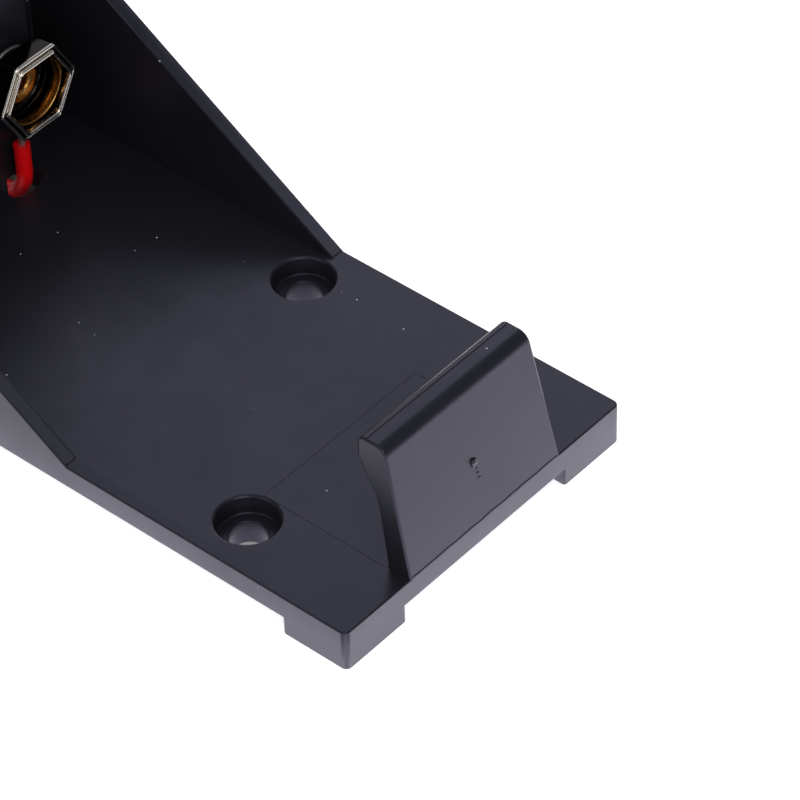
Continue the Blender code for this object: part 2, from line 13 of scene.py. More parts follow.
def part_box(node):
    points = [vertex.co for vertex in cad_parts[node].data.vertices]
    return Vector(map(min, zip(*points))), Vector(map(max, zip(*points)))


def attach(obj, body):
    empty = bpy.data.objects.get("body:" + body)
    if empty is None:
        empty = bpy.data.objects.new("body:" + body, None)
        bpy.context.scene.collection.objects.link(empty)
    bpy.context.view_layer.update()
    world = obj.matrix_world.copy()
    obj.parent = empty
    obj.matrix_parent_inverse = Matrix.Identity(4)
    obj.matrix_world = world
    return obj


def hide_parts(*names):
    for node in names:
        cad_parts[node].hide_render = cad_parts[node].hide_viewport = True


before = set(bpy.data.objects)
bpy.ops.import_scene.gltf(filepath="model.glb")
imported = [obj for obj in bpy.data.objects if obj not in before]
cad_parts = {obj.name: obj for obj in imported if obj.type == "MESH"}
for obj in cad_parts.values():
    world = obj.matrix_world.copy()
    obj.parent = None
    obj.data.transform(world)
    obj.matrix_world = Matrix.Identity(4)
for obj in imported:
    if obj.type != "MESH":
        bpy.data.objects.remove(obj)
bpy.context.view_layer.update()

bl_info = {
    "name": "Nine Volt Battery Holder",
    "version": (1, 0, 0),
    "blender": (4, 5, 0),
    "location": "View3D > Sidebar > Battery Holder",
    "description": "Dresses the packed battery holder and sets it on a plain studio floor",
    "category": "Object",
}

MM = 0.001

# The camera, fitted to the photograph by least squares
CAMERA_PLACE = Vector((-0.17623, -0.18122, 0.23222))
CAMERA_AZIMUTH = math.radians(-47.679)
CAMERA_ELEVATION = math.radians(42.996)
CAMERA_ROLL = math.radians(-2.339)
CAMERA_LENS = 215.28

# The way to the broad window that the plate's top mirrors
WINDOW_TOWARDS = Vector((0.710, 0.520, 0.475))

# The lamps, each with its place, width and power, and what they all point at
SOFTBOXES = [
    ("front softbox", (-0.3, -0.45, 0.4), 0.35, 1.3),
    ("left softbox", (-0.5, 0.1, 0.3), 0.35, 0.4),
    ("top softbox", (0.0, -0.1, 0.6), 0.4, 0.3),
]
LIT_PLACE = (0, 0, 0.01)

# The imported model's own places
BODY_LOW, BODY_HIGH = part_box("holder_body")
FRONT = BODY_LOW.y
SHELL_LOW, SHELL_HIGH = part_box("socket_shell")
CUP_LOW, CUP_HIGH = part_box("socket_spring_cup")
STUD_LOW, STUD_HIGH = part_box("stud_cap")
TAG_LOW, TAG_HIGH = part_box("socket_solder_lug")
COIL_LOW, COIL_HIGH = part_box("red_lead_coil")
PLATE_TOP = 3.5 * MM
PANEL_FACE = TAG_HIGH.y + 0.3 * MM
LEAD_ORIGIN = Vector(((SHELL_LOW.x + SHELL_HIGH.x) / 2, PANEL_FACE, 0))
COIL_CENTRE = Vector(((COIL_LOW.x + COIL_HIGH.x) / 2, (COIL_LOW.y + COIL_HIGH.y) / 2, 0))

# The marks that the mould left: an insert's outline on the plate, a line along the tab's lip, a seam at
# the tab's foot, and a line round each side wall's toe, each with half its thickness
INSERT_HALF = 8.0 * MM
INSERT_LENGTH = 13.2 * MM
TAB_HALF_FOOT = 7.7 * MM
TAB_FOOT_DEPTH = 2.3 * MM
WALL_TOE = [(13.5 * MM, 16 * MM), (13.5 * MM, -2.4 * MM), (14.5 * MM, -2.4 * MM)]
LIP_LINE = 0.05 * MM
FOOT_SEAM = 0.045 * MM
INSERT_LINE = 0.024 * MM
TOE_LINE = 0.035 * MM
# The torn stubs of the gate on the tab's face, as (x, z, width, height) in millimetres, and the seed that
# keeps them torn the same way
TORN_SEED = 4
GATE_STUBS = [
    (0.0, 8.0, 0.62, 0.8),
    (-0.18, 8.22, 0.3, 0.3),
    (0.16, 7.45, 0.2, 0.3),
    (0.2, 7.05, 0.14, 0.24),
    (0.26, 6.62, 0.18, 0.22),
]

# Of the moulding, only the tab's lip is so high and so far ahead
LIP_ABOVE = 12 * MM
LIP_AHEAD_OF = -10 * MM

# Marks are laid on the moulding from over it, from close over its plate, or from in front of it
OVER_HOLDER = 30 * MM
OVER_PLATE = 5 * MM
BEFORE_HOLDER = -50 * MM
DOWN = Vector((0, 0, -1))
REARWARD = Vector((0, 1, 0))

# The lead's route where it isn't coiled, in millimetres, with the part's own points: from its cut end
# at the tag to the coil, measured from the panel's face under the socket
LEAD_TO_COIL = [
    (0.00, -0.95, 6.30),
    (0.00, -0.95, 5.40),
    (0.00, -0.95, 4.50),
    (0.00, -0.92, 3.50),
    (0.01, -0.67, 2.45),
    (0.03, -0.05, 1.50),
    (0.07, 0.95, 0.95),
    (0.13, 2.15, 0.75),
    (0.23, 3.95, 0.70),
    (0.35, 6.15, 0.70),
    (0.41, 8.55, 0.70),
    (0.35, 10.95, 0.70),
    (0.20, 12.95, 0.70),
    (0.07, 14.45, 0.70),
    (0.00, 16.95, 0.70),
]
# The free end and its bare strands, from the coil's middle
LEAD_TAIL = [
    (-9.57, -0.25, 0.70),
    (-9.57, -1.50, 0.70),
    (-9.55, -3.05, 0.70),
    (-9.48, -4.50, 0.70),
]
BARE_END = [
    (-9.48, -3.95, 0.70),
    (-9.45, -5.05, 0.68),
    (-9.31, -7.30, 0.60),
    (-9.08, -9.80, 0.40),
]
# The strands that rise from the cut end to the tag
BARE_TOP = [
    (0.00, -0.95, 5.80),
    (0.00, -0.97, 6.80),
    (0.00, -1.05, 7.80),
    (0.00, -1.10, 9.00),
]


def linear(hex_colour):
    """Linear RGBA of an sRGB hex colour."""
    parts = [int(hex_colour[start : start + 2], 16) / 255 for start in (1, 3, 5)]
    return [p / 12.92 if p <= 0.04045 else ((p + 0.055) / 1.055) ** 2.4 for p in parts] + [1.0]


class HolderSizes(bpy.types.PropertyGroup):
    lead_diameter: FloatProperty(
        name="Lead diameter",
        description="Diameter over the lead's insulation",
        default=1.3 * MM,
        unit="LENGTH",
    )
    lead_length: FloatProperty(
        name="Lead length",
        description="Length of the insulated lead, its coil included",
        default=145.0 * MM,
        unit="LENGTH",
    )
    conductor_diameter: FloatProperty(
        name="Conductor diameter",
        description="Diameter over the seven twisted strands",
        default=0.6 * MM,
        unit="LENGTH",
    )
    strand_lay: FloatProperty(
        name="Strand lay",
        description="Length in which a strand goes once round the conductor",
        default=5.0 * MM,
        unit="LENGTH",
    )
    sheet: FloatProperty(
        name="Contact sheet",
        description="Thickness of the sheet that the contacts are drawn from",
        default=0.3 * MM,
        unit="LENGTH",
    )
    rim_wall: FloatProperty(
        name="Rim width",
        description="Width of the socket's rim, which is folded into two beads",
        default=0.84 * MM,
        unit="LENGTH",
    )
    rim_bead: FloatProperty(
        name="Rim bead",
        description="Width of one bead of the socket's rim",
        default=0.34 * MM,
        unit="LENGTH",
    )
    hexagon_fillet: FloatProperty(
        name="Corner radius",
        description="Radius of the socket's six corners",
        default=0.45 * MM,
        unit="LENGTH",
    )


class HolderColours(bpy.types.PropertyGroup):
    plastic: FloatVectorProperty(
        name="Moulding",
        description="Colour of the black moulding",
        subtype="COLOR",
        size=4,
        min=0.0,
        max=1.0,
        default=linear("#151519"),
    )
    insulation: FloatVectorProperty(
        name="Insulation",
        description="Colour of the lead's insulation",
        subtype="COLOR",
        size=4,
        min=0.0,
        max=1.0,
        default=linear("#d4060e"),
    )
    nickel: FloatVectorProperty(
        name="Nickel",
        description="Colour of the plated contacts",
        subtype="COLOR",
        size=4,
        min=0.0,
        max=1.0,
        default=linear("#dcd6cc"),
    )
    brass: FloatVectorProperty(
        name="Brass",
        description="Colour of the bare brass spring",
        subtype="COLOR",
        size=4,
        min=0.0,
        max=1.0,
        default=linear("#bd8c4c"),
    )
    tin: FloatVectorProperty(
        name="Tin",
        description="Colour of the tinned tags, strands and solder",
        subtype="COLOR",
        size=4,
        min=0.0,
        max=1.0,
        default=linear("#c9c9c6"),
    )
    floor: FloatVectorProperty(
        name="Floor",
        description="Colour of the studio floor",
        subtype="COLOR",
        size=4,
        min=0.0,
        max=1.0,
        default=linear("#f2f2f2"),
    )


def sizes():
    return bpy.context.scene.holder_sizes


def colours():
    return bpy.context.scene.holder_colours


def add_node(tree, kind, settings=None, inputs=None):
    """Add a node with its settings, and with each input set to a value or linked to a socket."""
    node = tree.nodes.new(kind)
    for name, value in (settings or {}).items():
        setattr(node, name, value)
    for socket, value in (inputs or {}).items():
        if isinstance(value, bpy.types.NodeSocket):
            tree.links.new(value, node.inputs[socket])
        else:
            node.inputs[socket].default_value = value
    return node


def object_place(tree):
    """Object coordinates: a place on the piece, in metres."""
    return add_node(tree, "ShaderNodeTexCoord").outputs["Object"]


def noise_pattern(tree, place, across, detail=2.0, roughness=0.5):
    """Noise with patches some way across, from 0 to 1."""
    pattern = {"Vector": place, "Scale": 1 / across, "Detail": detail, "Roughness": roughness}
    return add_node(tree, "ShaderNodeTexNoise", inputs=pattern).outputs["Fac"]


def mapped(tree, value, low, high, least=0.0, most=1.0, step="LINEAR"):
    """A value from low to high, turned into one from least to most."""
    limits = {"Value": value, "From Min": low, "From Max": high, "To Min": least, "To Max": most}
    return add_node(tree, "ShaderNodeMapRange", {"interpolation_type": step}, limits).outputs["Result"]


def bumped(tree, height, strength, distance):
    """Normals of a surface that rises and falls by a distance with the height."""
    relief = {"Height": height, "Strength": strength, "Distance": distance}
    return add_node(tree, "ShaderNodeBump", inputs=relief).outputs["Normal"]


def blended(tree, share, first, second):
    """The first colour where the share is 0, and the second where it is 1."""
    parts = {0: share, 6: first, 7: second}
    return add_node(tree, "ShaderNodeMix", {"data_type": "RGBA"}, parts).outputs[2]


def calculated(tree, operation, first, second):
    return add_node(tree, "ShaderNodeMath", {"operation": operation}, {0: first, 1: second}).outputs[0]


def vector_math(tree, operation, *values):
    """A node that works something out from one or two vectors."""
    return add_node(tree, "ShaderNodeVectorMath", {"operation": operation}, dict(enumerate(values)))


def new_material(name):
    """A material with its tree and its Principled shader, or with no tree where it was made before."""
    material = bpy.data.materials.get(name)
    if material is not None:
        return material, None, None
    material = bpy.data.materials.new(name)
    material.use_nodes = True
    tree = material.node_tree
    tree.nodes.clear()
    shader = add_node(tree, "ShaderNodeBsdfPrincipled")
    output = add_node(tree, "ShaderNodeOutputMaterial")
    tree.links.new(shader.outputs["BSDF"], output.inputs["Surface"])
    return material, tree, shader


def moulded_abs():
    """Black ABS, injection moulded in a finely polished mould: deep black under a satin gloss."""
    material, tree, shader = new_material("moulded_abs")
    if tree is None:
        return material
    place = object_place(tree)
    # Flow marks some 6 mm across, which the gloss shows as slow changes
    flow = noise_pattern(tree, place, 6 * MM, detail=3.0, roughness=0.6)
    roughness = mapped(tree, flow, 0.3, 0.7, 0.3, 0.4)
    # Fine grain of the mould, drawn at 0.25 mm so that it shows
    grain = noise_pattern(tree, place, 0.25 * MM)
    # Specks of pale dust, some 0.12 mm across, in few cells of 2.2 mm, so they lie about 8 mm apart
    cells = {"Vector": place, "Scale": 1 / (2.2 * MM)}
    from_speck = add_node(tree, "ShaderNodeTexVoronoi", inputs=cells).outputs["Distance"]
    dust = mapped(tree, from_speck, 0.034, 0.024)
    tree.links.new(
        blended(tree, dust, colours().plastic, linear("#a9abb5")), shader.inputs["Base Color"]
    )
    shader.inputs["IOR"].default_value = 1.5
    shader.inputs["Specular Tint"].default_value = linear("#d8d8ff")
    tree.links.new(roughness, shader.inputs["Roughness"])
    tree.links.new(bumped(tree, grain, 0.12, 0.02 * MM), shader.inputs["Normal"])
    return material


def formed_metal(name, colour, smoothest, roughest, ripple):
    """Drawn sheet metal: a metal's gloss, a little uneven from the press and the plating bath."""
    material, tree, shader = new_material(name)
    if tree is None:
        return material
    place = object_place(tree)
    # Cloudiness of the plating, some 0.8 mm across
    cloud = noise_pattern(tree, place, 0.8 * MM, detail=4.0, roughness=0.6)
    roughness = mapped(tree, cloud, 0.3, 0.7, smoothest, roughest)
    # Ripple left by the drawing die, 0.3 mm apart
    draw = noise_pattern(tree, place, 0.3 * MM)
    shader.inputs["Base Color"].default_value = colour
    shader.inputs["Metallic"].default_value = 1.0
    tree.links.new(roughness, shader.inputs["Roughness"])
    tree.links.new(bumped(tree, draw, ripple, 0.03 * MM), shader.inputs["Normal"])
    return material


def nickel_plate():
    """Bright nickel on brass sheet: warm grey, nearly a mirror."""
    return formed_metal("nickel_plate", colours().nickel, 0.1, 0.22, 0.12)


def nickel_with_painted_shade():
    """Nickel plate with painted shade: the rim alone keeps the bright colour, and behind it the colour is
    painted dark.
    """
    material = nickel_plate().copy()
    material.name = "nickel_with_painted_shade"
    tree = material.node_tree
    shader = tree.nodes["Principled BSDF"]
    depth = add_node(tree, "ShaderNodeSeparateXYZ", inputs={"Vector": object_place(tree)}).outputs["Y"]
    # Painted shade: the colour darkens from 0.3 to 0.44 mm behind the rim's front
    behind = mapped(tree, depth, SHELL_LOW.y + 0.3 * MM, SHELL_LOW.y + 0.44 * MM)
    colour = blended(tree, behind, colours().nickel, linear("#232120"))
    tree.links.new(colour, shader.inputs["Base Color"])
    return material


def bare_brass():
    """Bare rolled brass: golden, and duller than the plating."""
    return formed_metal("bare_brass", colours().brass, 0.2, 0.34, 0.18)


def dipped_tin():
    """Hot-dipped tin: pale grey and soft, with a slightly uneven skin."""
    return formed_metal("dipped_tin", colours().tin, 0.28, 0.46, 0.35)


def pvc_insulation():
    """Red PVC, extruded over the conductor: a waxy satin skin."""
    material, tree, shader = new_material("pvc_insulation")
    if tree is None:
        return material
    # Unevenness of the extruded skin, some 0.6 mm across
    skin = noise_pattern(tree, object_place(tree), 0.6 * MM, detail=3.0)
    roughness = mapped(tree, skin, 0.3, 0.7, 0.32, 0.45)
    shader.inputs["Base Color"].default_value = colours().insulation
    shader.inputs["IOR"].default_value = 1.53
    shader.inputs["Specular IOR Level"].default_value = 0.25
    tree.links.new(roughness, shader.inputs["Roughness"])
    tree.links.new(bumped(tree, skin, 0.25, 0.04 * MM), shader.inputs["Normal"])
    return material


def seen_rays(tree, *kinds):
    """1 for rays of the given kinds, such as those from the camera or off gloss, and 0 for the rest."""
    path = add_node(tree, "ShaderNodeLightPath").outputs
    seen = path[kinds[0]]
    for kind in kinds[1:]:
        seen = calculated(tree, "MAXIMUM", seen, path[kind])
    return seen


def beyond_box(tree, place, middle, half):
    """How far a place on the floor lies outside a box with this middle, half width and half depth."""
    shifted = vector_math(tree, "SUBTRACT", place, (*middle, 0.0)).outputs[0]
    folded = vector_math(tree, "ABSOLUTE", shifted).outputs[0]
    past = vector_math(tree, "SUBTRACT", folded, (*half, 0.0)).outputs[0]
    outside = vector_math(tree, "MAXIMUM", past, (0.0, 0.0, 0.0)).outputs[0]
    return vector_math(tree, "LENGTH", outside).outputs["Value"]


def surroundings(tree):
    """White to the camera, a dim room with one broad window to the gloss, and dim and even as light."""
    sight = add_node(tree, "ShaderNodeTexCoord").outputs["Generated"]
    towards = vector_math(tree, "DOT_PRODUCT", sight, WINDOW_TOWARDS).outputs["Value"]
    # The window is full within 5 degrees of its middle, and ends at 29 degrees
    edge, full = math.cos(math.radians(29)), math.cos(math.radians(5))
    window = mapped(tree, towards, edge, full, 0.2, 1.62, step="SMOOTHSTEP")
    white = (1.0, 1.0, 1.0, 1.0)
    even, glossy, backdrop = (
        add_node(tree, "ShaderNodeBackground", inputs={"Color": colour, "Strength": strength})
        for colour, strength in ((white, 0.8), (linear("#f6f6ff"), window), (white, 1.0))
    )
    lit = add_node(
        tree,
        "ShaderNodeMixShader",
        inputs={0: seen_rays(tree, "Is Glossy Ray"), 1: even.outputs[0], 2: glossy.outputs[0]},
    )
    seen = seen_rays(tree, "Is Camera Ray", "Is Transmission Ray")
    return add_node(
        tree, "ShaderNodeMixShader", inputs={0: seen, 1: lit.outputs[0], 2: backdrop.outputs[0]}
    )


def floor_glow(tree, place):
    """The floor's glow, which the camera and the gloss see and which lights nothing else."""
    # Painted shade: right under the plate no glow to the camera and less to the gloss, so the screw holes
    # stay dim
    inside = (BODY_HIGH.x - 3 * MM, BODY_HIGH.y - 3 * MM)
    from_under = beyond_box(tree, place, (0.0, 0.0), inside)
    to_camera = mapped(tree, from_under, 0.0, 1 * MM, 0.0, 0.7)
    to_gloss = mapped(tree, from_under, 0.0, 1 * MM, 0.72, 1.0)
    # Painted reflection: the glow is brighter to the gloss close by the holder
    from_holder = beyond_box(tree, place, (0.0, 0.0), (BODY_HIGH.x, BODY_HIGH.y))
    near = mapped(tree, from_holder, 1.5 * MM, 5 * MM, 1.9, 1.08, step="SMOOTHSTEP")
    camera_glow = calculated(tree, "MULTIPLY", seen_rays(tree, "Is Camera Ray"), to_camera)
    gloss_glow = seen_rays(tree, "Is Glossy Ray", "Is Transmission Ray")
    # Painted shade: less gloss glow at the back and at the left, as if they were further from the window
    apart = add_node(tree, "ShaderNodeSeparateXYZ", inputs={"Vector": place}).outputs
    at_back = mapped(tree, apart["Y"], 14 * MM, 28 * MM, 1.0, 0.2)
    at_left = mapped(tree, apart["X"], -15.5 * MM, -19 * MM, 1.0, 0.55)
    for share in (near, to_gloss, at_back, at_left):
        gloss_glow = calculated(tree, "MULTIPLY", gloss_glow, share)
    return calculated(tree, "MAXIMUM", camera_glow, gloss_glow)


def studio_floor():
    """Matt white acrylic sheet. It glows only to the rays that see it, and so keeps its shadow."""
    material, tree, shader = new_material("studio_floor")
    place = object_place(tree)
    # The sheet's faint cloudiness, 40 mm across
    roughness = mapped(tree, noise_pattern(tree, place, 40 * MM), 0.0, 1.0, 0.7, 0.8)
    # Painted shade: a dark colour and no glow where the floor shows through the lead's slot
    under_slot = (LEAD_ORIGIN.x + 2.5 * MM, LEAD_ORIGIN.y - 0.5 * MM)
    from_slot = beyond_box(tree, place, under_slot, (4.5 * MM, 3.5 * MM))
    in_open = mapped(tree, from_slot, 0.0, 1 * MM)
    colour = blended(tree, in_open, linear("#4e5553"), colours().floor)
    glow = calculated(tree, "MULTIPLY", floor_glow(tree, place), in_open)
    shader.inputs["Emission Color"].default_value = linear("#fbf8ff")
    tree.links.new(colour, shader.inputs["Base Color"])
    tree.links.new(roughness, shader.inputs["Roughness"])
    tree.links.new(glow, shader.inputs["Emission Strength"])
    return material


def deselect_all():
    if bpy.context.mode != "OBJECT":
        bpy.ops.object.mode_set(mode="OBJECT")
    bpy.ops.object.select_all(action="DESELECT")


def make_active(obj):
    deselect_all()
    obj.select_set(True)
    bpy.context.view_layer.objects.active = obj


def apply_modifier(obj, kind, **settings):
    """Add a modifier, set it and apply it."""
    make_active(obj)
    modifier = obj.modifiers.new(kind.lower(), kind)
    for name, value in settings.items():
        setattr(modifier, name, value)
    bpy.ops.object.modifier_apply(modifier=modifier.name)


def shade(obj, degrees):
    """Smooth shading with sharp edges past an angle, and flat faces kept flat."""
    make_active(obj)
    bpy.ops.object.shade_smooth_by_angle(angle=math.radians(degrees))
    apply_modifier(obj, "WEIGHTED_NORMAL", keep_sharp=True)


def finish_piece(obj, name, material, slot, *nodes):
    """Name a modelled piece, give it its finish and let it ride in place of its CAD nodes."""
    make_active(obj)
    bpy.ops.object.transform_apply(location=True, rotation=True, scale=True)
    obj.name = name
    obj.data.name = name
    obj.data.materials.clear()
    obj.data.materials.append(material)
    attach(obj, "root")
    if nodes:
        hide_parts(*nodes)


def joined(pieces, from_curves=False):
    """Several pieces as one mesh."""
    deselect_all()
    for piece in pieces:
        piece.select_set(True)
    bpy.context.view_layer.objects.active = pieces[0]
    if from_curves:
        bpy.ops.object.convert(target="MESH")
    bpy.ops.object.join()
    return bpy.context.object


def merged_copy(node, name):
    """A copy of a CAD node with its loose triangles merged and its flat faces whole again."""
    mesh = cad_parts[node].data.copy()
    obj = bpy.data.objects.new(name, mesh)
    bpy.context.scene.collection.objects.link(obj)
    make_active(obj)
    if mesh.has_custom_normals:
        bpy.ops.mesh.customdata_custom_splitnormals_clear()
    bpy.ops.object.mode_set(mode="EDIT")
    bpy.ops.mesh.select_all(action="SELECT")
    bpy.ops.mesh.remove_doubles(threshold=0.001 * MM)
    bpy.ops.mesh.dissolve_limited(angle_limit=math.radians(0.1))
    bpy.ops.mesh.normals_make_consistent(inside=False)
    bpy.ops.object.mode_set(mode="OBJECT")
    return obj


def draw_profile(points):
    """Draw a line of vertices by extruding one from point to point, and leave it in edit mode."""
    deselect_all()
    bpy.ops.mesh.primitive_plane_add(size=MM, location=(0, 0, 0))
    obj = bpy.context.object
    bpy.ops.object.mode_set(mode="EDIT")
    bpy.ops.mesh.merge(type="CENTER")
    bpy.ops.transform.translate(value=points[0])
    for before, after in zip(points, points[1:]):
        bpy.ops.mesh.extrude_vertices_move(TRANSFORM_OT_translate={"value": after - before})
    return obj


def arc(radius, depth, bend, start, end, steps=6):
    """Profile points (radius, depth) on an arc of radius bend, with angles from the outer side."""
    angles = [math.radians(start + (end - start) * step / steps) for step in range(steps + 1)]
    return [(radius + bend * math.cos(angle), depth + bend * math.sin(angle)) for angle in angles]


def spun(profile, centre, steps=96):
    """Spin a closed profile of (radius, depth) about the line through centre along Y."""
    points = [centre + Vector((radius, depth, 0)) for radius, depth in [*profile, profile[0]]]
    obj = draw_profile(points)
    bpy.ops.mesh.select_all(action="SELECT")
    bpy.ops.mesh.spin(steps=steps, angle=2 * math.pi, center=centre, axis=(0, 1, 0))
    bpy.ops.mesh.select_all(action="SELECT")
    bpy.ops.mesh.remove_doubles(threshold=0.0005 * MM)
    bpy.ops.mesh.normals_make_consistent(inside=False)
    bpy.ops.object.mode_set(mode="OBJECT")
    return obj


def hexagon_reach(corner, fillet, angle):
    """How far a hexagon with rounded corners reaches, as a share of its corner radius."""
    from_corner = abs((angle + math.radians(30)) % math.radians(60) - math.radians(30))
    apothem = corner * math.cos(math.radians(30))
    heart = (apothem - fillet) / math.cos(math.radians(30))
    fillet_ends = math.atan2(fillet / 2, heart + fillet * math.cos(math.radians(30)))
    if from_corner > fillet_ends:
        return apothem / math.cos(math.radians(30) - from_corner) / corner
    across = heart * math.sin(from_corner)
    return (heart * math.cos(from_corner) + math.sqrt(fillet**2 - across**2)) / corner


def press_six_sided(obj, centre, six_sided):
    """Press round rings into hexagons, where six_sided says so of a radius and a depth."""
    fillet = sizes().hexagon_fillet
    # How far, in radians, the vertices move closer to the corners
    gathering = 0.11
    for vertex in obj.data.vertices:
        offset = vertex.co - centre
        radius = math.hypot(offset.x, offset.z)
        if not six_sided(radius, offset.y):
            continue
        angle = math.atan2(offset.z, offset.x)
        angle -= gathering * math.sin(6 * angle)
        reach = radius * hexagon_reach(radius, fillet, angle)
        vertex.co = centre + Vector((reach * math.cos(angle), offset.y, reach * math.sin(angle)))


def smooth_curve(name, points, diameter, material):
    """A round-section curve of one open spline through the points."""
    curve = bpy.data.curves.new(name, "CURVE")
    curve.dimensions = "3D"
    curve.bevel_depth = diameter / 2
    curve.bevel_resolution = 5
    curve.resolution_u = 6
    curve.use_fill_caps = True
    spline = curve.splines.new("BEZIER")
    spline.bezier_points.add(len(points) - 1)
    for knot, point in zip(spline.bezier_points, points):
        knot.co = point
        knot.handle_left_type = "AUTO"
        knot.handle_right_type = "AUTO"
    curve.materials.append(material)
    obj = bpy.data.objects.new(name, curve)
    bpy.context.scene.collection.objects.link(obj)
    return obj


def ramp(value, start, end):
    """A smooth step from 0 at start to 1 at end."""
    share = min(1.0, max(0.0, (value - start) / (end - start)))
    return share * share * (3 - 2 * share)


def hump(value, middle, half_width):
    """A smooth rise to 1 at the middle, and back to 0 a half width away."""
    share = min(1.0, abs(value - middle) / half_width)
    return (1 + math.cos(math.pi * share)) / 2


def coil_route(diameter):
    """The coil's turns: one outside, one inside it, and half a turn on top that leaves at the left."""
    steps_per_turn = 18
    middle = COIL_CENTRE
    # How much higher the lead lies where it crosses another turn, as a share of its diameter
    crossing = 0.15
    first = LEAD_ORIGIN.x + LEAD_TO_COIL[-1][0] * MM - middle.x
    leaving = -LEAD_TAIL[0][0] * MM
    rest = LEAD_TO_COIL[-1][2] * MM
    points = []
    for step in range(int(2.5 * steps_per_turn)):
        turns = step / steps_per_turn
        radius = first - diameter * ramp(turns, 0.85, 1.15)
        radius += diameter / 2 * ramp(turns, 1.9, 2.15)
        radius += (leaving - first + diameter / 2) * ramp(turns, 2.2, 2.47)
        stacked = diameter * math.cos(math.radians(30))
        height = rest + stacked * (ramp(turns, 1.78, 1.98) - ramp(turns, 2.33, 2.49))
        height += crossing * diameter * (hump(turns, 2.04, 0.12) + hump(turns, 2.3, 0.1))
        angle = 2 * math.pi * turns
        points.append(
            Vector((middle.x + radius * math.cos(angle), middle.y + radius * math.sin(angle), height))
        )
    return points


def surface_line(body, starts, direction):
    """Where lines from the starts, all in one direction, first meet a body's surface."""
    places = []
    for start in starts:
        met, place, _, _ = body.ray_cast(start, direction)
        if not met:
            raise RuntimeError(f"no surface beyond {start[:]}")
        places.append(place)
    return places


def placed(points, origin):
    """Points given in millimetres from an origin, as places in the model's frame."""
    return [origin + Vector(point) * MM for point in points]


def stranded(name, route, material):
    """Seven strands: six wound round a straight one, along a route."""
    strand = sizes().conductor_diameter / 3
    lay = sizes().strand_lay
    guide = smooth_curve(f"{name} guide", route, strand, material)
    guide.data.bevel_depth = 0
    make_active(guide)
    bpy.ops.object.convert(target="MESH")
    line = [vertex.co.copy() for vertex in bpy.context.object.data.vertices]
    bpy.data.objects.remove(bpy.context.object)
    strands = []
    for index in range(7):
        ring = 0 if index == 0 else strand
        travelled = 0.0
        points = []
        for place, following in zip(line, line[1:] + [2 * line[-1] - line[-2]]):
            along = (following - place).normalized()
            side = along.orthogonal().normalized()
            turn = 2 * math.pi * (travelled / lay + index / 6)
            points.append(place + Matrix.Rotation(turn, 3, along) @ side * ring)
            travelled += (following - place).length
        strands.append(smooth_curve(f"{name} {index}", points, strand, material))
    for piece in strands:
        piece.data.bevel_resolution = 3
        piece.data.resolution_u = 2
    return joined(strands, from_curves=True)


def camera_matrix():
    """The camera's place and turn: it looks along -back, with its roll taken in."""
    azimuth = CAMERA_AZIMUTH
    elevation = CAMERA_ELEVATION
    back = Vector(
        (
            math.sin(azimuth) * math.cos(elevation),
            -math.cos(azimuth) * math.cos(elevation),
            math.sin(elevation),
        )
    )
    level = Vector((math.cos(azimuth), math.sin(azimuth), 0))
    upright = back.cross(level)
    right = level * math.cos(CAMERA_ROLL) + upright * math.sin(CAMERA_ROLL)
    up = upright * math.cos(CAMERA_ROLL) - level * math.sin(CAMERA_ROLL)
    matrix = Matrix((right, up, back)).transposed().to_4x4()
    matrix.translation = CAMERA_PLACE
    return matrix


def add_softbox(name, place, width, energy):
    lamp = bpy.data.lights.new(name, "AREA")
    lamp.shape = "SQUARE"
    lamp.size = width
    lamp.energy = energy
    obj = bpy.data.objects.new(name, lamp)
    bpy.context.scene.collection.objects.link(obj)
    obj.location = place
    obj.rotation_euler = (Vector(LIT_PLACE) - Vector(place)).to_track_quat("-Z", "Y").to_euler()


class HOLDER_OT_stage(bpy.types.Operator):
    """Set up the camera, the soft lamps, the white surroundings and the floor"""

    bl_idname = "holder.stage"
    bl_label = "Stage"

    def execute(self, context):
        camera = bpy.data.objects.new("camera", bpy.data.cameras.new("camera"))
        context.scene.collection.objects.link(camera)
        camera.data.lens = CAMERA_LENS
        camera.data.clip_start = 0.01
        camera.matrix_world = camera_matrix()
        context.scene.camera = camera

        context.scene.view_settings.view_transform = "Standard"
        world = bpy.data.worlds.new("white surroundings")
        context.scene.world = world
        world.use_nodes = True
        tree = world.node_tree
        tree.nodes.clear()
        mixed = surroundings(tree)
        output = add_node(tree, "ShaderNodeOutputWorld")
        tree.links.new(mixed.outputs[0], output.inputs["Surface"])

        for softbox in SOFTBOXES:
            add_softbox(*softbox)

        deselect_all()
        bpy.ops.mesh.primitive_plane_add(size=3.0, location=(0, 0, -0.02 * MM))
        floor = context.object
        floor.name = "studio_floor"
        floor.data.materials.append(studio_floor())
        bpy.ops.object.transform_apply(location=True, rotation=False, scale=False)
        return {"FINISHED"}


class HOLDER_OT_lead(bpy.types.Operator):
    """Lay the red lead from its tag through the plate, wind its coil and strip its end"""

    bl_idname = "holder.lead"
    bl_label = "Red lead"

    def execute(self, context):
        size = sizes()
        route = placed(LEAD_TO_COIL, LEAD_ORIGIN)
        route += coil_route(size.lead_diameter)
        route += placed(LEAD_TAIL, COIL_CENTRE)
        lead = smooth_curve("red_lead_wound", route, size.lead_diameter, pvc_insulation())
        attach(lead, "root")
        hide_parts("red_lead", "red_lead_coil", "red_lead_tail")
        end = stranded("red_lead_strands", placed(BARE_END, COIL_CENTRE), dipped_tin())
        finish_piece(end, "red_lead_strands", dipped_tin(), "tinned_metal", "red_lead_end")
        return {"FINISHED"}


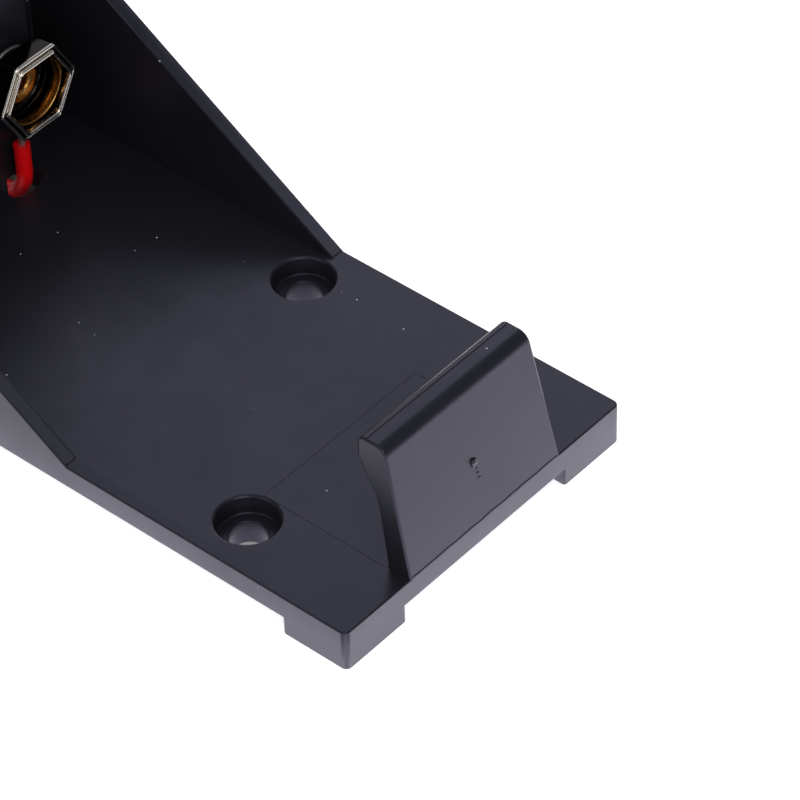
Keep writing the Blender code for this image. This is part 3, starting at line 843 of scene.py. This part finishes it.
class HOLDER_OT_solder(bpy.types.Operator):
    """Twist the conductor that rises from the lead and solder it to its tag"""

    bl_idname = "holder.solder"
    bl_label = "Solder joint"

    def execute(self, context):
        risen = placed(BARE_TOP, LEAD_ORIGIN)
        strands = stranded("red_lead_conductor", risen, dipped_tin())
        node = "red_lead_solder_joint"
        finish_piece(strands, "red_lead_conductor", dipped_tin(), "tinned_metal", node)
        # The solder lies round the strands' upper end, and flat on the tag
        deselect_all()
        tag_face = TAG_LOW.y
        radius = 0.7 * MM
        middle = Vector((risen[-1].x, tag_face - 0.25 * MM, 8.6 * MM))
        bpy.ops.mesh.primitive_uv_sphere_add(segments=40, ring_count=24, radius=radius, location=middle)
        blob = context.object
        bpy.ops.object.mode_set(mode="EDIT")
        bpy.ops.transform.resize(value=(0.95, 0.9, 1.55))
        bpy.ops.mesh.bisect(
            plane_co=(0, tag_face, 0), plane_no=(0, 1, 0), clear_outer=True, use_fill=True
        )
        bpy.ops.object.mode_set(mode="OBJECT")
        bpy.ops.object.transform_apply(location=True, rotation=True, scale=True)
        # Uneven by 0.1 mm, in lumps 0.9 mm across, but for the flat face on the tag
        for vertex in blob.data.vertices:
            if vertex.co.y < tag_face - 0.01 * MM:
                vertex.co.y += 0.1 * MM * noise.noise(vertex.co / (0.9 * MM))
        shade(blob, 60)
        finish_piece(blob, "red_lead_solder", dipped_tin(), "tinned_metal", node)
        return {"FINISHED"}


class HOLDER_OT_moulding(bpy.types.Operator):
    """Finish the one-piece moulding: tray, walls, feet and spring tab"""

    bl_idname = "holder.moulding"
    bl_label = "Moulding"

    def execute(self, context):
        body = merged_copy("holder_body", "holder_moulding")
        self.add_mould_lines(body)
        self.add_gate_mark(body)
        shade(body, 50)
        finish_piece(body, "holder_moulding", moulded_abs(), "black_plastic", "holder_body")
        return {"FINISHED"}

    def add_mould_lines(self, body):
        """The hair lines that stand where the mould's inserts met."""
        corners = [vertex.co for vertex in body.data.vertices]
        lip = [place for place in corners if place.z > LIP_ABOVE and place.y < LIP_AHEAD_OF]
        # The lip's line is 0.7 mm in from its rear edge, and stops 0.3 mm short of both ends
        lip_rear = max(place.y for place in lip)
        half = max(place.x for place in lip) - 0.3 * MM
        steps = 40
        across = [half * (2 * step / steps - 1) for step in range(steps + 1)]
        along_lip = [Vector((x, lip_rear - 0.7 * MM, OVER_HOLDER)) for x in across]
        # The seam wanders up and down by 0.07 mm, some 900 times a metre
        seam = []
        for x in across:
            height = PLATE_TOP + 0.06 * MM + 0.07 * MM * noise.noise(Vector((x * 900, 0, 0)))
            seam.append(Vector((x * (TAB_HALF_FOOT / half), BEFORE_HOLDER, height)))
        rear = FRONT + INSERT_LENGTH
        foot = FRONT + TAB_FOOT_DEPTH
        left, right = -INSERT_HALF, INSERT_HALF
        outline = [(left, foot), (left, rear), (right, rear), (right, foot)]
        insert = [Vector((x, y, OVER_PLATE)) for x, y in outline]
        lines = [
            ("lip line", surface_line(body, along_lip, DOWN), LIP_LINE),
            ("foot seam", surface_line(body, seam, REARWARD), FOOT_SEAM),
            ("insert line", surface_line(body, insert, DOWN), INSERT_LINE),
        ]
        for side in (-1, 1):
            toe = [Vector((side * x, y, OVER_HOLDER)) for x, y in WALL_TOE]
            lines.append(("wall toe", surface_line(body, toe, DOWN), TOE_LINE))
        material = moulded_abs()
        pieces = []
        for name, places, radius in lines:
            piece = smooth_curve(name, places, 2 * radius, material)
            for knot in piece.data.splines[0].bezier_points:
                knot.handle_left_type = knot.handle_right_type = "VECTOR"
            piece.data.bevel_resolution = 1
            piece.data.resolution_u = 1
            pieces.append(piece)
        finish_piece(joined(pieces, from_curves=True), "mould_lines", material, "black_plastic")

    def add_gate_mark(self, body):
        """The torn stub in the middle of the tab's face, where the plastic was fed in."""
        # How far a stub stands out, as a share of its width
        standing = 0.3
        blobs = []
        for x, z, wide, tall in GATE_STUBS:
            start = Vector((x * MM, BEFORE_HOLDER, z * MM))
            middle = surface_line(body, [start], REARWARD)[0]
            deselect_all()
            bpy.ops.mesh.primitive_uv_sphere_add(segments=24, ring_count=16, radius=MM, location=middle)
            bpy.ops.object.mode_set(mode="EDIT")
            bpy.ops.transform.resize(value=(wide / 2, standing * wide, tall / 2))
            bpy.ops.object.mode_set(mode="OBJECT")
            bpy.ops.object.transform_apply(location=True, rotation=True, scale=True)
            blobs.append(bpy.context.object)
        stub = joined(blobs)
        # Torn by 0.09 mm, in tatters 0.16 mm across. Unseeded, this noise differs from run to run
        noise.seed_set(TORN_SEED)
        for vertex in stub.data.vertices:
            vertex.co += 0.09 * MM * noise.noise_vector(vertex.co / (0.16 * MM))
        shade(stub, 35)
        finish_piece(stub, "gate_mark", moulded_abs(), "black_plastic")


class HOLDER_OT_socket(bpy.types.Operator):
    """Draw the six-sided socket, the brass spring in it and the rivet that holds it"""

    bl_idname = "holder.socket"
    bl_label = "Snap socket"

    def execute(self, context):
        size = sizes()
        centre = (SHELL_LOW + SHELL_HIGH) / 2
        centre.y = SHELL_LOW.y
        outer = (SHELL_HIGH.x - SHELL_LOW.x) / 2
        depth = SHELL_HIGH.y - SHELL_LOW.y
        crown = 2.15 * MM
        neck = 2.7 * MM
        hole = 1.4 * MM
        bead = size.rim_bead / 2
        inner = outer - size.rim_wall
        sheet = size.sheet
        # From the outer bead to the inner one, back along the inside, and forward along the outside
        profile = (
            arc(outer - bead, 2.1 * bead, bead, 0, -140, 9)
            + [(outer - 2.3 * bead, 3.2 * bead)]
            + arc(inner + bead, bead, bead, 0, -180, 11)
            + [(inner, 3.6 * bead), (outer - sheet, 5.2 * bead)]
            + arc(outer - 2 * sheet, crown - 2 * sheet, sheet, 0, 90, 5)
            + [(neck, crown - sheet)]
            + arc(neck - sheet * 2, crown, sheet, -30, 0, 3)
            + arc(neck - sheet * 2, depth - 2 * sheet, sheet, 0, 90, 4)
            + [(hole, depth - sheet), (hole, depth)]
            + arc(neck - sheet, depth - sheet, sheet, 90, 0, 4)
            + arc(neck + sheet, crown + sheet, sheet, 180, 270, 4)
            + arc(outer - sheet, crown - sheet, sheet, 90, 0, 6)
        )
        shell = spun(profile, centre, steps=120)
        # All but the round neck behind the crown
        neck_from = crown - 1.9 * sheet
        press_six_sided(
            shell, centre, lambda radius, at: radius > neck + 1.5 * sheet or at < neck_from
        )
        shade(shell, 40)
        finish_piece(shell, "snap_socket", nickel_with_painted_shade(), "nickel_plate", "socket_shell")
        self.add_spring()
        add_rivet("socket_eyelet", "socket_rivet", bare_brass(), "brass")
        return {"FINISHED"}

    def add_spring(self):
        """The brass spring: a waisted ring with both edges rolled."""
        centre = (CUP_LOW + CUP_HIGH) / 2
        centre.y = CUP_LOW.y
        depth = CUP_HIGH.y - CUP_LOW.y
        outer = (CUP_HIGH.x - CUP_LOW.x) / 2
        wall = 0.2 * MM
        waist = depth * 0.45
        profile = (
            arc(outer - wall / 2, wall / 2, wall / 2, 0, -180, 6)
            + [(outer - wall * 1.5, waist), (outer - wall, depth - wall / 2)]
            + arc(outer - wall / 2, depth - wall / 2, wall / 2, 180, 0, 6)
            + [(outer - wall / 2, waist)]
        )
        spring = spun(profile, centre, steps=96)
        shade(spring, 40)
        finish_piece(spring, "socket_spring", bare_brass(), "brass", "socket_spring_cup")


def add_rivet(name, node, material, slot):
    """A tubular rivet with a rounded head in front and a rolled tail behind."""
    low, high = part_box(node)
    centre = (low + high) / 2
    centre.y = low.y
    head = (high.x - low.x) / 2
    length = high.y - low.y
    bore = 0.75 * MM
    shank = 1.1 * MM
    sheet = sizes().sheet
    roll = 0.45 * MM
    profile = (
        arc(bore + sheet, sheet, sheet, 180, 270, 5)
        + arc(head - sheet / 2, sheet / 2, sheet / 2, -90, 90, 6)
        + [(shank, sheet), (shank, length - roll)]
        + arc(head - roll / 2, length - roll / 2, roll / 2, -90, 90, 7)
        + arc(bore + roll, length - roll, roll, 90, 180, 5)
    )
    rivet = spun(profile, centre, steps=64)
    shade(rivet, 40)
    finish_piece(rivet, name, material, slot, node)


class HOLDER_OT_stud(bpy.types.Operator):
    """Draw the round stud and the rivet that holds it"""

    bl_idname = "holder.stud"
    bl_label = "Snap stud"

    def execute(self, context):
        centre = (STUD_LOW + STUD_HIGH) / 2
        centre.y = STUD_LOW.y
        flange = (STUD_HIGH.x - STUD_LOW.x) / 2
        depth = STUD_HIGH.y - STUD_LOW.y
        sheet = sizes().sheet
        bend = 0.6 * MM
        head = 2.26 * MM
        neck = 2.6 * MM
        mouth = 1.7 * MM
        hole = 1.4 * MM
        profile = (
            arc(mouth + sheet / 2, sheet / 2, sheet / 2, 90, 270, 4)
            + arc(head, bend, bend, -90, 35, 9)
            + arc(neck + 0.2 * MM, 2.2 * bend, 0.2 * MM, 215, 180, 3)
            + arc(neck + sheet, depth - 2 * sheet, sheet, 180, 90, 5)
            + arc(flange - sheet / 2, depth - sheet / 2, sheet / 2, -90, 90, 5)
            + [(hole, depth), (hole, depth - sheet), (neck - 2 * sheet, depth - sheet)]
            + arc(neck - 2 * sheet, depth - 2 * sheet, sheet, 90, 0, 4)
            + [(neck - sheet, 2.2 * bend)]
            + arc(head, bend, bend - sheet, 35, -90, 6)
        )
        cap = spun(profile, centre, steps=96)
        shade(cap, 40)
        finish_piece(cap, "snap_stud", nickel_plate(), "nickel_plate", "stud_cap")
        add_rivet("stud_eyelet", "stud_rivet", nickel_plate(), "nickel_plate")
        return {"FINISHED"}


class HOLDER_OT_tags(bpy.types.Operator):
    """Tin the two solder tags"""

    bl_idname = "holder.tags"
    bl_label = "Solder tags"

    def execute(self, context):
        for node in ("socket_solder_lug", "stud_solder_lug"):
            tag = merged_copy(node, f"{node} copy")
            apply_modifier(
                tag,
                "BEVEL",
                width=0.05 * MM,
                segments=2,
                limit_method="ANGLE",
                angle_limit=math.radians(40),
            )
            shade(tag, 50)
            name = node.replace("solder_lug", "tag")
            finish_piece(tag, name, dipped_tin(), "tinned_metal", node)
        return {"FINISHED"}


class HOLDER_PT_panel(bpy.types.Panel):
    bl_idname = "HOLDER_PT_panel"
    bl_label = "Battery Holder"
    bl_space_type = "VIEW_3D"
    bl_region_type = "UI"
    bl_category = "Battery Holder"

    def draw(self, context):
        for operator in OPERATORS:
            self.layout.operator(operator.bl_idname)
        for group in (context.scene.holder_sizes, context.scene.holder_colours):
            for name in group.__annotations__:
                self.layout.prop(group, name)


# In the order in which main calls them
OPERATORS = (
    HOLDER_OT_stage,
    HOLDER_OT_lead,
    HOLDER_OT_solder,
    HOLDER_OT_moulding,
    HOLDER_OT_socket,
    HOLDER_OT_stud,
    HOLDER_OT_tags,
)
CLASSES = (HolderSizes, HolderColours, *OPERATORS, HOLDER_PT_panel)


def register():
    for group in CLASSES:
        bpy.utils.register_class(group)
    bpy.types.Scene.holder_sizes = PointerProperty(type=HolderSizes)
    bpy.types.Scene.holder_colours = PointerProperty(type=HolderColours)


def unregister():
    del bpy.types.Scene.holder_colours
    del bpy.types.Scene.holder_sizes
    for group in reversed(CLASSES):
        bpy.utils.unregister_class(group)


def main():
    register()
    bpy.ops.holder.stage()
    bpy.ops.holder.lead()
    bpy.ops.holder.solder()
    bpy.ops.holder.moulding()
    bpy.ops.holder.socket()
    bpy.ops.holder.stud()
    bpy.ops.holder.tags()


if __name__ == "__main__":
    main()
